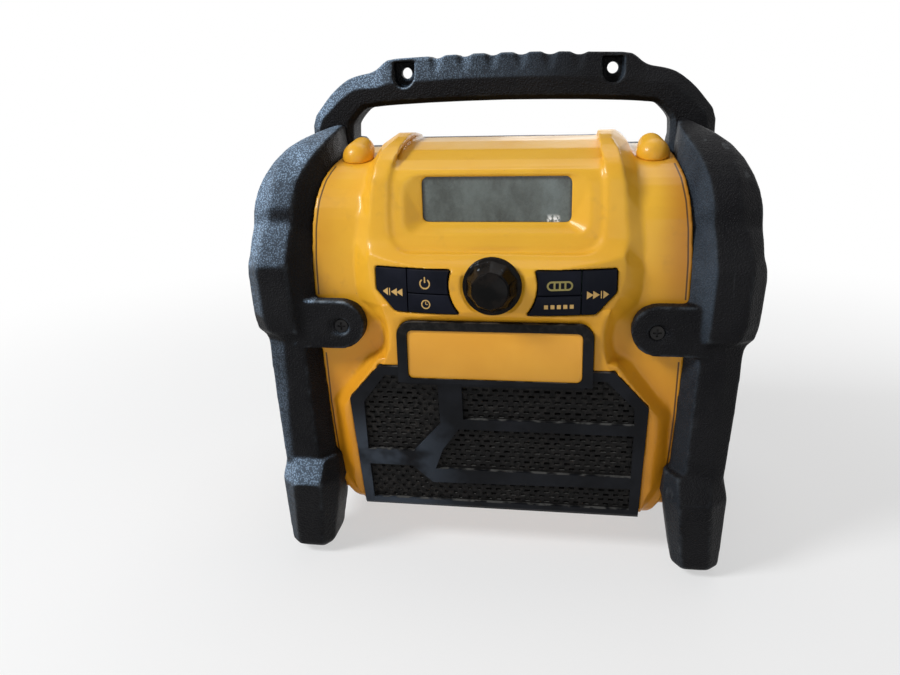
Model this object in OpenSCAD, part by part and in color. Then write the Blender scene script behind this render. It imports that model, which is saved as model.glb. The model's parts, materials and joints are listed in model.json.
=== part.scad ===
// Jobsite radio: moulded body in two shells, rubber roll-cage bumpers, carry handle,
// two loudspeakers behind a slotted grille, six sprung keys, a tuning knob, a battery
// bay with a hinged door, and a swinging aerial.
// Origin: bottom centre. X to the radio's right as seen from the front, front faces -Y.

/* [Overall] */
// Width over the bumper pads
overall_w = 262; // [258:1:268]
// Height to the top of the handle
overall_h = 273; // [269:1:277]
// Distance from the middle plane to the knob face
front_reach = 93; // [92:0.5:95]
// Distance from the middle plane to the rear bumper pads
rear_reach = 93; // [91:0.5:95]

/* [Housing] */
// Half width of the shells under the bumpers
shell_half_w = 108; // [106:0.5:110]
// Wall thickness of both shells
wall = 3; // [2.4:0.1:3.4]
// Underside of the body above the floor
body_z0 = 23.8; // [23:0.2:25]
// Plane where the front and rear shells meet
parting_y = 13; // [11:0.5:14]
// Distance from the middle plane to the front of the front feet
foot_reach = 83; // [81:0.5:84]
// Depth of the seat that the bumper flange sits in
flange_seat = 5; // [4:0.5:6]
// Most forward plane of the control panel
nose_y = -83; // [-84:0.5:-82]
// Radius of the control panel in plan
nose_r = 214; // [190:1:240]

/* [Handle] */
// Front plane of the handle
handle_y = -1; // [-3:0.5:1]
// Depth of the handle from front to back
handle_d = 26; // [25:0.5:28]
// Radius of the two lashing eyelets
eyelet_r = 3.1; // [2.8:0.1:3.6]
// Distance from the middle to an eyelet
eyelet_x = 57.5; // [55:0.5:59]
// Height of the eyelets
eyelet_z = 263.5; // [262:0.5:265]
// Spacing of the finger scallops
scallop_pitch = 15.75; // [15:0.25:17]
// Number of finger scallops
scallop_count = 6; // [4:1:6]

/* [Controls] */
// Height of the knob axis
knob_z = 163; // [161:0.5:165]
// Radius of the knob at its base
knob_r = 14.7; // [14:0.1:15.5]
// Radius of the flat knob face
knob_face_r = 9.8; // [9:0.1:10.5]
// Number of flats around the knob
knob_flats = 10; // [8:1:12]
// Travel of a key
key_travel = 1; // [0.6:0.1:1.2]
// Gap around each key
key_gap = 0.5; // [0.4:0.05:0.7]

/* [Grille] */
// Slot pitch across the grille
slot_pitch_x = 5.4; // [5:0.1:6]
// Slot pitch up the grille
slot_pitch_s = 3.3; // [3.2:0.1:4]
// Width of a slot
slot_w = 3; // [2.6:0.1:3.2]
// Height of a slot
slot_h = 1.5; // [1.2:0.1:1.8]
// Radius of a loudspeaker frame
speaker_r = 37.5; // [36:0.5:38]

/* [Battery bay] */
// Inside width of the bay
bay_w = 90; // [84:1:92]
// Lowest inside height of the bay
bay_z0 = 66; // [64:1:70]
// Inside height of the bay
bay_h = 100; // [90:1:104]
// Front end of the bay
bay_y = 30; // [29:0.5:34]
// Radius of the door hinge pin
pin_r = 1.5; // [1.2:0.1:1.8]

/* [Hidden] */
$fn = 64;

yellow = [0.93, 0.64, 0.10];
rubber_black = [0.07, 0.07, 0.08];
moulded_black = [0.11, 0.11, 0.12];
steel = [0.72, 0.72, 0.74];
board_green = [0.10, 0.36, 0.22];
half_w = overall_w / 2;
eps = 0.01;

// ---- small helpers -------------------------------------------------------------------

function unit(v) = v / norm(v);
// Inward normal of an edge on an outline whose points run anticlockwise
function edge_normal(a, b) = unit([a.y - b.y, b.x - a.x]);
// Outline moved inwards by d, with mitred corners
function inset(points, d) = [
    for (i = [0:len(points) - 1])
        let (n = len(points),
             before = edge_normal(points[(i + n - 1) % n], points[i]),
             after = edge_normal(points[i], points[(i + 1) % n]))
        points[i] + d * (before + after) / (1 + before * after)
];
function reversed(list) = [for (i = [len(list) - 1:-1:0]) list[i]];
// Smooth curve through the given points, with the given number of steps between two of them
function curve(points, steps) = concat([
    for (i = [0:len(points) - 2], k = [0:steps - 1])
        let (t = k / steps, b = points[i], c = points[i + 1],
             a = points[max(i - 1, 0)], d = points[min(i + 2, len(points) - 1)])
        b + t * (c - a) / 2 + t * t * (a - 2.5 * b + 2 * c - d / 2)
            + t * t * t * (1.5 * b - a / 2 - 1.5 * c + d / 2)
], [points[len(points) - 1]]);
// Half outline to the right of the middle, completed by its mirror image
function both_sides(half) = concat(half, [for (p = reversed(half)) if (p.x > 0) [-p.x, p.y]]);

module along_x(x0, x1) {
    translate([x0, 0, 0]) rotate([90, 0, 90]) linear_extrude(x1 - x0) children();
}
module along_y(y0, y1) {
    translate([0, y1, 0]) rotate([90, 0, 0]) linear_extrude(y1 - y0) children();
}
module box(low, high) {
    translate(low) cube(high - low);
}
module rod_y(x, z, r, y0, y1) {
    translate([x, y1, z]) rotate([90, 0, 0]) cylinder(r = r, h = y1 - y0);
}
module rod_z(x, y, r, z0, z1) {
    translate([x, y, z0]) cylinder(r = r, h = z1 - z0);
}
module mirrored() {
    children();
    mirror([1, 0, 0]) children();
}
// Closed skin over a list of rings that all have the same number of points
module skin(rings, closed = false) {
    n = len(rings[0]);
    count = len(rings);
    last = closed ? count - 1 : count - 2;
    sides = [for (i = [0:last], j = [0:n - 1])
        let (a = i * n, b = ((i + 1) % count) * n, k = (j + 1) % n)
        each [[a + j, b + j, b + k], [a + j, b + k, a + k]]];
    caps = closed ? [] : [[for (j = [0:n - 1]) j], [for (j = [n - 1:-1:0]) (count - 1) * n + j]];
    polyhedron(points = [for (ring = rings) each ring], faces = concat(sides, caps));
}

// ---- profiles that the shells, bumpers and handle share ------------------------------

// The rear half repeats the front half, a little shallower
rear_scale = (rear_reach - parting_y) / (parting_y + foot_reach);
function to_rear(p) = [parting_y + (parting_y - p.x) * rear_scale, p.y];
function wrap(front) = concat(front, [for (i = [len(front) - 2:-1:0]) to_rear(front[i])]);

// Side panel of the body, as Y and Z from the underside to the top
panel_front = curve([[-40, body_z0], [-50, 25.5], [-56.5, 34], [-60, 55], [-63, 100],
    [-66, 150], [-64, 185], [-58.5, 203], [-46, 214.5], [-28, 220], [-3, 222.6],
    [parting_y, 222.8]], 3);
panel_profile = reversed(wrap(panel_front));
seat_profile = inset(panel_profile, flange_seat);
// Edge between the side panel and the bumper, as X and Z
panel_edge = [[74, 18], [79.5, 22.5], [85, 29], [89, 37], [91.6, 46], [93.6, 65], [94.8, 90],
    [95.2, 121], [96.2, 150], [96.3, 172], [95.6, 188], [94.2, 201], [92.2, 211], [89.6, 217.5],
    [87, 222], [86, 240]];

// Raised middle of the front, as Y and Z
face_z0 = 28;
face_y0 = -59.5;
face_slope = 0.2;
face_tilt = atan(face_slope);
face_top_z = 118;
face_top_y = face_y0 - face_slope * (face_top_z - face_z0);
display_ridge_y = -68.5;
lower_front = [[face_top_y + 1, 150], [face_top_y + 1, face_top_z],
    [face_y0 + 0.2, face_z0 + 4], [face_y0 + 4, face_z0 - 0.5], [face_y0 + 12, body_z0],
    [parting_y, body_z0], [parting_y, 150]];
upper_front = concat(
    curve([[parting_y, 229.5], [-4, 231.6], [-20, 232], [-40, 229.4], [-54, 224.5],
        [-61.5, 219], [-64.8, 213]], 2),
    curve([[display_ridge_y, 184], [-70.4, 180], [-75.5, 174.6], [-80.5, 171], [nose_y, 166]], 2),
    [[nose_y, 150], [nose_y + 2, 147], [face_top_y + 1, 143], [face_top_y + 1, 139],
        [parting_y, 139]]);
// Bottom of the shallow channel that holds the display and runs on over the top
channel_floor = [[parting_y + 9, 180], [parting_y + 9, 227.6], [-18, 227.4], [-38, 224.6],
    [-52, 220.6], [-61, 216.8], [-63.4, 212], [display_ridge_y + 1.2, 184], [-69.2, 179.4],
    [-69.2, 174], [-40, 174]];
channel_edge = both_sides([[0, 177], [43, 177], [48.6, 178.4], [52, 182], [53.6, 187],
    [54, 196], [53.2, 212], [50.6, 226], [48.5, 240], [0, 240]]);
// Flanks of the raised middle: X, Z and Y where they leave the side panel, and where they
// reach the front
flank_low = [[0, 18, -50, 0, 18, -56], [76, 18, -50, 76, 18, -56], [79.5, 30, -57, 78.6, 30, -61],
    [87.5, 45, -58.5, 81.5, 45, -63], [89.8, 60, -60, 82.5, 60, -66],
    [90.2, 92, -62.5, 82.8, 91, -72], [70.2, 119.5, -64, 66, 113.5, -76.2],
    [61.5, 123.8, -64.5, 57.4, 119.5, -76.5], [56.4, 135.4, -65, 53.4, 135, -76.5],
    [0, 135.4, -65, 0, 135, -76.5]];
flank_high = [[0, 120, -65, 0, 120, -76.5], [58.3, 120, -65, 55.4, 120, -76.5],
    [59.6, 138, -65, 55, 140.5, -76],
    [66.5, 144.2, -65, 58, 150, -75], [72.4, 150.6, -65, 61.6, 157, -74],
    [74.6, 158, -65, 63.4, 164, -73.6], [75, 168, -64.8, 64.4, 172, -73],
    [74.4, 182, -63.6, 64.6, 183, -69], [73.2, 194, -61, 64, 194, -67.2],
    [71.6, 204, -56, 63.4, 204, -66], [70, 213, -47, 62.6, 212, -65],
    [68.6, 219.4, -35, 61.8, 218.6, -60], [65, 227, -25, 59.6, 225.4, -50],
    [58.6, 232.3, -10, 55.6, 231.4, -30], [57, 240, -10, 54, 240, -30], [0, 240, -10, 0, 240, -30]];

// ---- body shells ---------------------------------------------------------------------

module panel_body(margin) {
    intersection() {
        along_x(-100, 100) polygon(inset(panel_profile, margin));
        along_y(-120, 120) polygon(inset(both_sides(panel_edge), margin));
    }
}
// Everything of the body that the bumpers and the handle close up against
module body_envelope() {
    along_x(-shell_half_w, shell_half_w) polygon(seat_profile);
    panel_body(0);
}
module nose_limit(proud, z0, z1) {
    rod_z(0, nose_y + nose_r, nose_r + proud, z0, z1, $fn = 480);
}
module flank_loft(stations, margin, reach) {
    foot = inset(both_sides([for (f = stations) [f[0], f[1]]]), margin);
    ridge = inset(both_sides([for (f = stations) [f[3], f[4]]]), margin);
    // Y of both edges, in the order of the outline
    depths = concat([for (f = stations) [f[2], f[5]]],
        [for (f = reversed(stations)) if (f[0] > 0) [f[2], f[5]]]);
    skin([
        [for (p = foot) [p.x, parting_y + reach, p.y]],
        [for (i = [0:len(foot) - 1]) [foot[i].x, depths[i].x, foot[i].y]],
        [for (i = [0:len(foot) - 1]) [ridge[i].x, depths[i].y, ridge[i].y]],
        [for (p = ridge) [p.x * 0.98, -93 - reach, p.y]]
    ]);
}
module block_flanks(margin) {
    flank_loft(flank_low, margin, 1);
    flank_loft(flank_high, margin, 2);
}
module front_block(margin) {
    intersection() {
        block_flanks(margin);
        union() {
            along_x(-90, 90) polygon(inset(lower_front, margin));
            intersection() {
                along_x(-90, 90) polygon(inset(upper_front, margin));
                nose_limit(-margin, 140, 250);
            }
        }
    }
}
module in_front() {
    intersection() {
        children();
        box([-130, -120, 0], [130, parting_y, 300]);
    }
}
module behind() {
    intersection() {
        children();
        box([-130, parting_y, 0], [130, 120, 300]);
    }
}
// Sound holes and pockets are laid out on the sloping lower front:
// x across, s up the slope from the lower edge, n out of the face
module on_face() {
    translate([0, face_y0, face_z0]) rotate([90 + face_tilt, 0, 0]) children();
}
function slope_s(z) = (z - face_z0) / cos(face_tilt);

display_w = 75;
display_h = 22.4;
display_z = 202;
display_floor_y = -61;
module rounded_window(w, h, r) {
    hull() for (x = [-w / 2 + r, w / 2 - r], y = [-h / 2 + r, h / 2 - r])
        translate([x, y]) circle(r = r, $fn = 32);
}
// Sloping bucket that leads down to the display window
module display_bucket() {
    hull() {
        translate([0, 0, display_z]) along_y(display_floor_y - 0.4, display_floor_y)
            rounded_window(display_w + 1.2, display_h + 1.2, 3.6);
        translate([0, -65.7, display_z - 1.5]) rotate([-8, 0, 0]) along_y(-0.5, 0)
            rounded_window(display_w + 20.5, display_h + 9.2, 6.5);
    }
}
module display_channel() {
    difference() {
        along_y(-95, parting_y + 9) polygon(channel_edge);
        along_x(-90, 90) polygon(channel_floor);
    }
}

module front_housing() {
    color(yellow) in_front() difference() {
        union() {
            difference() {
                union() {
                    body_envelope();
                    front_block(0);
                }
                union() {
                    along_x(-shell_half_w + wall, shell_half_w - wall)
                        polygon(inset(seat_profile, wall));
                    panel_body(wall);
                    front_block(wall);
                }
            }
            // Thickened wall that carries the grille and the loudspeakers
            on_face() difference() {
                translate([0, 0, -8]) linear_extrude(6)
                    polygon(both_sides([[0, 0], [76, 0], [80, 70], [62, 95], [0, 95]]));
                translate([-90, -20, -12]) cube([180, 18, 12]);
            }
            // Frame behind the display window
            intersection() {
                translate([-51, -72, 183]) cube([102, 12.5, 37]);
                front_block(0.1);
            }
            // Wall under the channel where it crosses the top
            intersection() {
                along_y(-62, parting_y) polygon(inset(channel_edge, -1));
                along_x(-90, 90) difference() {
                    polygon(channel_floor);
                    polygon(inset(channel_floor, wall));
                    translate([-100, 170]) square([200, display_z + 15.3 - 170]);
                }
            }
            // Posts for the control board
            intersection() {
                mirrored() for (p = board_posts) rod_y(p.x, p.y, 2.2, nose_y, control_board_y);
                front_block(0.1);
            }
        }
        display_channel();
        display_bucket();
        translate([0, 0, display_z]) along_y(-70, -50) rounded_window(display_w, display_h, 3);
        grille_pocket();
        mirrored() key_group_hole();
        rod_y(0, knob_z, knob_r + 1.5, nose_y - 5, knob_base_y);
        rod_y(0, knob_z, 4.2, nose_y - 5, -60);
        mirrored() rod_y(screw_x, screw_z, 1.9, -80, -52);
        // Sockets under the two studs, and clearance for the handle screws
        mirrored() stud_peg(12);
        mirrored() rod_z(handle_screw_x, handle_y + 7, 2.2, 208, 235);
        // Seam line that runs beside each bumper
        mirrored() seam_groove();
    }
}
seam_groove_depth = 0.8;
module seam_groove() {
    intersection() {
        difference() {
            along_x(60, 97) polygon(panel_profile);
            along_x(50, 99) polygon(inset(panel_profile, seam_groove_depth));
        }
        along_y(-90, -20) difference() {
            polygon(inset(both_sides(panel_edge), 1.8));
            polygon(inset(both_sides(panel_edge), 2.6));
        }
        for (z = [[54, 120], [153, 214]]) box([60, -90, z[0]], [97, -20, z[1]]);
    }
}

module rear_block() {
    along_x(-66, 66) polygon([[40, 33], [60, 33], [rear_wall_y, 40], [rear_wall_y, 196],
        [66, 211], [40, 211]]);
}
rear_wall_y = 80;
door_half_w = 50;
door_z0 = bay_z0 - 6;
door_z1 = bay_z0 + bay_h + 6;
module rear_housing() {
    color(moulded_black) difference() {
        union() {
            behind() difference() {
                union() {
                    body_envelope();
                    rear_block();
                    // Narrow crown that follows the front shell's raised middle
                    along_x(-58, 58) polygon([[parting_y, 218], [40, 218], [36, 225.4],
                        [26, 227.2], [parting_y, 227.6]]);
                }
                along_x(-shell_half_w + wall, shell_half_w - wall)
                    polygon(inset(seat_profile, wall));
                along_x(-63, 63) polygon([[30, 36.5], [rear_wall_y - wall, 43],
                    [rear_wall_y - wall, 194], [64, 207], [30, 207]]);
            }
            door_knuckles();
            aerial_clip();
            // Cooling ribs on the flat below the crown
            for (x = [-40:8:40]) box([x - 1.2, 62, 199], [x + 1.2, 72, 205]);
        }
        box([-bay_w / 2 - 2.5, 60, bay_z0 - 2.5], [bay_w / 2 + 2.5, 100, bay_z0 + bay_h + 2.5]);
        rod_z(door_pin_x, door_pin_y, pin_r + 0.05, door_z0 + 10, door_z1 - 8);
        rod_y(jack_x, jack_z, 6, 70, 100);
        rod_y(aux_x, jack_z, 4, 70, 100);
        for (p = housing_screw_places) {
            rod_y(p.x, p.y, 4.2, p.z - 2.5, 100);
            rod_y(p.x, p.y, 2, p.z - 12, 100);
        }
        mirrored() rod_y(screw_x, screw_z, 1.9, 52, 90);
        mirrored() rod_z(handle_screw_x, handle_y + 21, 2.2, 208, 235);
    }
}
module housing_seal() {
    color([0.2, 0.2, 0.2]) intersection() {
        difference() {
            along_x(-shell_half_w + wall, shell_half_w - wall) polygon(inset(seat_profile, wall));
            along_x(-shell_half_w + wall + 2, shell_half_w - wall - 2)
                polygon(inset(seat_profile, wall + 2));
        }
        box([-120, parting_y - 2, 0], [120, parting_y + 2, 300]);
    }
}
// X, Z and depth of the screws that draw the shells together
housing_screw_places = [[60, 40, 75], [-60, 40, 75], [84, 96, 74], [-84, 96, 74],
    [60, 190, rear_wall_y], [-60, 190, rear_wall_y]];
module pan_screw(head_r, head_h, shank_r, length) {
    difference() {
        cylinder(r = head_r, h = head_h);
        for (a = [0, 90]) rotate(a)
            translate([-head_r * 0.6, -0.5, head_h - 1]) cube([head_r * 1.2, 1, 2]);
    }
    translate([0, 0, -length]) cylinder(r = shank_r, h = length + eps);
}
module housing_screws() {
    color(steel) for (p = housing_screw_places)
        translate([p.x, p.z - 2.5, p.y]) rotate([-90, 0, 0]) pan_screw(3.6, 2, 1.8, 9);
}

// ---- bumpers -------------------------------------------------------------------------

screw_x = 80.6;
boss_r = 13.1;
screw_z = 138;
// Stations round the front half of the bumper frame, from under the body to the top:
// outer point, window point, inner edge, and both edges of the front facet
bumper_stations = [
    // outer Y, outer Z, window Y, window Z, inner X, facet from X, facet to X
    [-30, 24, -22, 50, 95, 101, 116],
    [-55, 25, -31, 52, 92, 99, 115],
    [-72, 40, -36, 57, 87.5, 96.5, 113.5],
    [-75.5, 60, -38, 66, 92, 98.6, 113.4],
    [-73.6, 130.5, -38, 130, 94.8, 102, 113],
    [-78, 135, -38, 134.5, 95, 104.4, 119],
    [-79, 143, -38, 142, 95.4, 105, 121.4],
    [-79.2, 170.5, -38, 163, 96, 106.2, 122.6],
    [-71.2, 188, -36.5, 172, 95.4, 104.8, 120],
    [-68.8, 191.6, -35.5, 174, 95.2, 104.4, 117.4],
    each curve([[-68, 199, -34, 178, 94.4, 104.2, 116.6],
        [-62, 212.4, -30, 183, 92.6, 102, 115.2],
        [-51.5, 222.6, -25, 187, 90.8, 97.6, 113.2],
        [-38, 230, -18, 189.4, 89.8, 93, 110],
        [-22, 234.4, -10, 190.4, 89.8, 91.2, 107.6],
        [-4, 236.2, 2, 191, 91, 92.4, 106.4],
        [13, 236.6, 13, 191, 91, 92.4, 106.4]], 2)
];
bumper_depth_at_panel = 0.28;
bumper_bevel = 0.24;
// The rear arch is lower than the front one
function arch_drop(z) = max(0, z - 212) * 0.33;
function bumper_section(s, rear) =
    let (outer = rear ? to_rear([s[0], s[1] - arch_drop(s[1])]) : [s[0], s[1]],
         inner = rear ? to_rear([s[2], s[3]]) : [s[2], s[3]],
         panel = outer + (inner - outer) * bumper_depth_at_panel,
         bevel = outer + (inner - outer) * bumper_bevel)
    [[s[4], panel.x, panel.y], [s[5], outer.x, outer.y], [s[6], outer.x, outer.y],
     [half_w, bevel.x, bevel.y], [half_w, inner.x, inner.y], [s[4], inner.x, inner.y]];
bumper_rings = concat(
    [for (s = bumper_stations) bumper_section(s, false)],
    [for (i = [len(bumper_stations) - 2:-1:0]) bumper_section(bumper_stations[i], true)]);
// Silhouette of a bumper seen from the front
bumper_silhouette = [[60, -1], [119.5, -1], [121, 15], [121.2, 28], [120.8, 47], [118.4, 58],
    [118.9, 66], [121.3, 95], [122.4, 112], [123, 125], [123.8, 129.6], [127, 133.6],
    [129, 140.5], [130.3, 154], [131, 164], [130.6, 169.5], [128.6, 176.5], [128.3, 188],
    [128, 198], [126.6, 205], [124, 212], [120, 219.4], [114.4, 226], [107.4, 231],
    [97, 236.4], [60, 240]];
module foot_slab(x0, x1, y0, y1, z, corner) {
    translate([0, 0, z]) linear_extrude(0.4)
        polygon([[x0, y0 + 1.3 * corner], [x0 + 0.8 * corner, y0], [x1 - corner, y0],
            [x1, y0 + corner], [x1, y1], [x0, y1]]);
}
module foot() {
    hull() {
        foot_slab(99, 116, -66.5, -52, 0, 4);
        foot_slab(95, 119.8, 7 - foot_reach, -48, 6.5, 6);
        foot_slab(88, 120.8, -foot_reach, -46, 48, 9.5);
        foot_slab(89, 118.6, -76, -42, 60, 7);
    }
}
module screw_boss(y0, y1) {
    along_y(y0, y1) {
        translate([81.2, screw_z + 0.8]) circle(r = boss_r);
        translate([81.2, screw_z + 0.8 - boss_r]) square([25, 2 * boss_r]);
    }
}
module bumper() {
    difference() {
        union() {
            intersection() {
                skin(bumper_rings, closed = true);
                along_y(-100, 110) polygon(bumper_silhouette);
            }
            foot();
            translate([0, rear_reach - foot_reach, 0]) mirror([0, 1, 0]) foot();
            screw_boss(-74.5, -55);
            screw_boss(65, 84);
        }
        body_envelope();
        rear_block();
        handle_leg();
        rod_y(screw_x, screw_z, 3.9, -90, -71);
        rod_y(screw_x, screw_z, 2, -90, -50);
        rod_y(screw_x, screw_z, 3.9, 81, 100);
        rod_y(screw_x, screw_z, 2, 50, 100);
        box([screw_x, -80, screw_z - 4], [screw_x + 7, -73.4, screw_z + 4.2]);
    }
}
module right_bumper() {
    color(rubber_black) bumper();
}
module left_bumper() {
    color(rubber_black) mirror([1, 0, 0]) bumper();
}
module bumper_screws() {
    color(steel) mirrored() {
        translate([screw_x, -71, screw_z]) rotate([90, 0, 0]) pan_screw(3.5, 2.4, 1.9, 14);
        translate([screw_x, 81, screw_z]) rotate([-90, 0, 0]) pan_screw(3.5, 2.4, 1.9, 14);
    }
}

// ---- handle --------------------------------------------------------------------------

handle_screw_x = 93;
handle_bevel = 4.5;
// Web that the lashing eyelets go through, between a pocket in front and one behind
eyelet_web = 6;
eyelet_y = handle_y + handle_d / 2;
// Stations along the right half of the handle: inner X, inner Z, outer X, outer Z and
// the height of the bevel along the outer edge
handle_stations = concat([[88.8, 213, 113, 213, 4.5], [89, 230, 112.8, 236, 5]],
    curve([[88.7, 236, 111, 241.6, 5.6], [86.6, 239.2, 107, 246.4, 6.4],
        [83.8, 242.2, 101.6, 252.6, 6.8], [81.6, 244.2, 96, 257.4, 7],
        [79.4, 245.1, 90.4, 261, 7.2], [77, 245.4, 84, 263, 7.6],
        [74.6, 245.6, 77.4, 264.2, 8.4], [72.4, 245.8, 73.2, 266.2, 10],
        [70.2, 246, 70.4, 268.6, 11.6], [67.4, 246.2, 67.4, overall_h - 2.4, 12.8]], 2),
    [[62, 246.5, 62, overall_h - 1.6, 13], [45, 247.2, 45, overall_h - 1, 13],
        [24, 247.7, 24, overall_h - 0.2, 13], [0, 248, 0, overall_h, 13]]);
function handle_section(s) =
    let (inner = [s[0], s[1]], outer = [s[2], s[3]], rise = unit(outer - inner),
         a = inner + rise * 0.6 * handle_bevel, b = outer - rise * s[4],
         y0 = handle_y, y1 = handle_y + handle_d, e = handle_bevel)
    [[inner.x, y0 + e, inner.y], [a.x, y0, a.y], [b.x, y0, b.y], [outer.x, y0 + e, outer.y],
     [outer.x, y1 - e, outer.y], [b.x, y1, b.y], [a.x, y1, a.y], [inner.x, y1 - e, inner.y]];
function mirror_ring(ring) = [for (p = ring) [-p.x, p.y, p.z]];
handle_rings = concat([for (s = handle_stations) handle_section(s)],
    [for (i = [len(handle_stations) - 2:-1:0]) mirror_ring(handle_section(handle_stations[i]))]);
// Legs that go down through the bumpers and stand on the shells
module handle_leg() {
    skin([for (i = [0:4]) handle_section(handle_stations[i])]);
}
module handle() {
    color(rubber_black) difference() {
        skin(handle_rings);
        body_envelope();
        // Eyelets, each in a pocket that is open upwards at the front
        mirrored() {
            rod_y(eyelet_x, eyelet_z, eyelet_r, handle_y - 5, handle_y + handle_d + 5);
            for (y = [[handle_y - 5, eyelet_y - eyelet_web / 2],
                [eyelet_y + eyelet_web / 2, handle_y + handle_d + 5]]) {
                rod_y(eyelet_x, eyelet_z - 2, 5.8, y[0], y[1]);
                box([eyelet_x - 5.8, y[0], eyelet_z - 2], [eyelet_x + 5.8, y[1], overall_h - 3.4]);
            }
        }
        // Finger scallops over the top and down the front edge
        for (i = [0:scallop_count - 1])
            let (x = (i - (scallop_count - 1) / 2) * scallop_pitch)
                translate([x, 0, -x * x / 1900]) {
                    rod_y(0, overall_h + 6.6, 8, handle_y - 5, handle_y + handle_d + 5);
                    translate([0, handle_y - 5, overall_h - 6.3]) rotate([-27, 0, 0])
                        translate([0, 0, -30]) cylinder(r = 7, h = 60);
                }
        mirrored() for (y = [7, 21]) rod_z(handle_screw_x, handle_y + y, 1.7, 212, 238);
    }
}
module handle_screws() {
    color(steel) mirrored() for (y = [7, 21])
        translate([handle_screw_x, handle_y + y, handle_screw_head_z]) mirror([0, 0, 1])
            pan_screw(3.6, 2.2, 1.7, 16);
}
handle_screw_head_z = 213.4;

// Egg-shaped studs on the top front corners, thick end forward
stud_r = 8.6;
stud_tip_r = 6.6;
stud_length = 7;
stud_peg_r = 4;
module stud_place() {
    translate([77.8, -30, 220.4]) rotate([-56, 0, 10]) children();
}
module egg() {
    lean = asin((stud_r - stud_tip_r) / stud_length);
    rotate_extrude() polygon(concat(
        [for (i = [0:12]) let (a = (90 + lean) * i / 12 - 90) stud_r * [cos(a), sin(a)]],
        [for (i = [0:8]) let (a = lean + (90 - lean) * i / 8)
            [0, stud_length] + stud_tip_r * [cos(a), sin(a)]]));
}
module stud_peg(depth) {
    translate([77.8, -28, 222.6]) rotate([28, 0, 0]) translate([0, 0, -depth])
        cylinder(r = stud_peg_r, h = depth + 4);
}
module top_studs() {
    color(yellow) mirrored() {
        difference() {
            stud_place() egg();
            body_envelope();
            flank_loft(flank_high, 0, 2);
        }
        stud_peg(9);
    }
}

// ---- grille, badge and loudspeakers --------------------------------------------------

grille_edge = both_sides([[0, slope_s(face_z0)], [77.2, slope_s(face_z0)],
    [78.6, slope_s(97.5)], [60.8, slope_s(117.6)], [0, slope_s(117.6)]]);
// Sunken fields, X and height above the floor
grille_fields = [
    [[-72, 64.5], [-46, 64.5], [-30, 83], [-30, 107.5], [-46, 107.5], [-52, 112.5], [-58, 112.5],
        [-71, 95.5]],
    [[-17.5, 86.5], [72, 86.5], [71.4, 97], [57, 112.5], [50, 112.5], [45, 107], [-17.5, 107]],
    [[-34.5, 53], [72, 53], [72, 80], [-20, 80], [-29.6, 66.5]],
    [[-72, 31], [72, 31], [72, 45.5], [-8, 44], [-36.5, 43.5], [-47.5, 54.5], [-72, 54.5]]
];
// Where the slots go right through, and shallow cups take their place elsewhere
grille_open = [
    [[-72, 64.5], [-47, 64.5], [-41, 71], [-41, 103.5], [-65, 103.5], [-71, 95.5]],
    grille_fields[1],
    grille_fields[2],
    [[-8, 31], [72, 31], [72, 45.5], [-8, 44]]
];
module grille_outlines(list) {
    for (outline = list) polygon([for (p = outline) [p.x, slope_s(p.y)]]);
}
module grille_rows() {
    for (row = [0:26], col = [-14:14])
        translate([(col + (row % 2) / 2) * slot_pitch_x, 5 + row * slot_pitch_s]) children();
}
grille_t = 4.5;
field_depth = 1.8;
cup_depth = 0.7;
cup_r = 1.2;
module grille_slots() {
    intersection() {
        grille_rows() square([slot_w, slot_h], center = true);
        grille_outlines(grille_open);
    }
}
module grille_cups() {
    intersection() {
        grille_rows() circle(r = cup_r, $fn = 12);
        difference() {
            grille_outlines(grille_fields);
            grille_outlines(grille_open);
        }
    }
}
badge_w = 89.4;
badge_h = 26.2;
badge_z = 125.3;
badge_front_y = -79.5;
badge_corner_r = 3;
badge_frame_side = 5.2;
badge_frame_top = 4.4;
badge_frame_r = 7.5;
badge_depth = 3;
// Upper side of the lip that turns under the body
lip_top_z = 25.2;
// The plate, or the recess that it is set in
module badge_outline() {
    translate([0, badge_z]) rounded_window(badge_w, badge_h, badge_corner_r);
}
// Raised frame, rounded at the top and run into the grille below
module badge_frame_outline() {
    w = badge_w / 2 + badge_frame_side;
    top = badge_z + badge_h / 2 + badge_frame_top;
    low = badge_z - badge_h / 2 - 2.3;
    for (x = [-w + badge_frame_r, w - badge_frame_r])
        translate([x, top - badge_frame_r]) circle(r = badge_frame_r);
    polygon(both_sides([[0, low], [w, low], [w, top - badge_frame_r], [w - badge_frame_r, top],
        [0, top]]));
}
module speaker_grille() {
    color(moulded_black) difference() {
        union() {
            on_face() {
                translate([0, 0, -grille_t]) linear_extrude(grille_t - field_depth - cup_depth)
                    difference() {
                        polygon(grille_edge);
                        grille_slots();
                    }
                translate([0, 0, -field_depth - cup_depth]) linear_extrude(cup_depth)
                    difference() {
                        polygon(grille_edge);
                        grille_slots();
                        grille_cups();
                    }
                translate([0, 0, -field_depth]) linear_extrude(field_depth) difference() {
                    polygon(grille_edge);
                    grille_outlines(grille_fields);
                }
            }
            // Lip that turns under the body
            along_x(-77.2, 77.2) polygon([[face_y0, face_z0 + 0.2], [face_y0 + 1.5, face_z0 - 2],
                [face_y0 + 5, face_z0 - 3.8], [face_y0 + 14, face_z0 - 4.4],
                [face_y0 + 14, lip_top_z], [face_y0 + 7.5, lip_top_z + 0.6],
                [face_y0 + 4.5, face_z0 + 0.2]]);
            // Raised frame round the badge
            along_y(badge_front_y, -73) badge_frame_outline();
        }
        along_y(badge_front_y - 1, badge_front_y + badge_depth) badge_outline();
    }
}
module badge_plate() {
    color(yellow) along_y(badge_front_y + 0.8, badge_front_y + badge_depth) badge_outline();
}
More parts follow.
